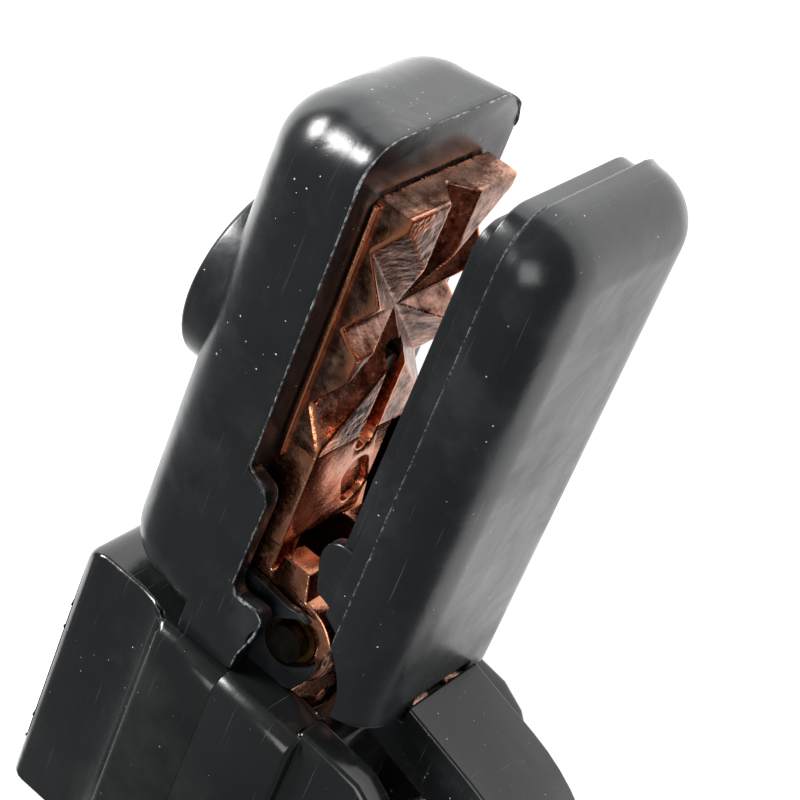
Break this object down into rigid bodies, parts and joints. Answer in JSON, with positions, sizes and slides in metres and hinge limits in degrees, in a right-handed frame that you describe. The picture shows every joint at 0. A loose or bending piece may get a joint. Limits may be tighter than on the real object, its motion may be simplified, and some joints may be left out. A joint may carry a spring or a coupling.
{
  "type": "insulated welding clamp",
  "caption": "Spring-loaded insulated welding clamp with crossed V-groove copper jaws in black moulded covers, worked by a hand lever on a handle with a cable socket.",
  "frame": {"origin": "centre of the cable socket's mouth, on the handle's axis", "axes": "+X along the handle towards the jaws, +Y towards the fixed jaw and the hand guard, +Z along the pivot pin, up from the side that the clamp lies on"},
  "size_m": [0.2347, 0.0847, 0.04],
  "materials": {
    "cast_copper": "rough cast copper alloy, bright on the edges",
    "cover_plastic": "black moulded plastic, satin gloss",
    "body_plastic": "black moulded plastic, satin gloss",
    "lever_plastic": "black moulded plastic, satin",
    "screw_steel": "blackened steel",
    "pin_steel": "dark oiled steel",
    "spring_steel": "drawn spring wire",
    "bush_brass": "turned brass",
    "socket_brass": "turned brass",
    "liner_fibre": "vulcanised fibre",
    "grommet_rubber": "matt rubber",
    "seat_plastic": "moulded insulating plastic"
  },
  "bodies": {
    "body": {"fixed_jaw": "cast_copper", "fixed_jaw_cover": "cover_plastic", "fixed_cover_screw": "screw_steel", "body_outer_half": "body_plastic", "body_inner_half": "body_plastic", "body_screws": "screw_steel", "pivot_pin": "pin_steel", "pivot_bushes": "bush_brass", "cable_socket": "socket_brass", "socket_grub_screws": "screw_steel", "socket_liner": "liner_fibre", "end_cap": "body_plastic", "cable_grommet": "grommet_rubber", "body_spring_seat": "seat_plastic", "spring": "spring_steel"},
    "lever": {"moving_jaw": "cast_copper", "knuckle_bush": "bush_brass", "moving_jaw_cover": "cover_plastic", "moving_cover_screw": "screw_steel", "lever_blade": "pin_steel", "lever_rivets": "screw_steel", "lever_cover": "lever_plastic", "lever_screw": "screw_steel", "lever_nut": "screw_steel", "lever_spring_seat": "seat_plastic"}
  },
  "joints": [
    {"name": "lever_pivot", "type": "hinge", "parent": "body", "child": "lever", "pos_m": [0.1, -0.0042, 0], "axis": [0, 0, -1], "range_deg": [-7.5, 12], "stiffness_Nm_per_rad": 8, "springref_deg": -31.51, "deforming": ["spring"]}
  ]
}
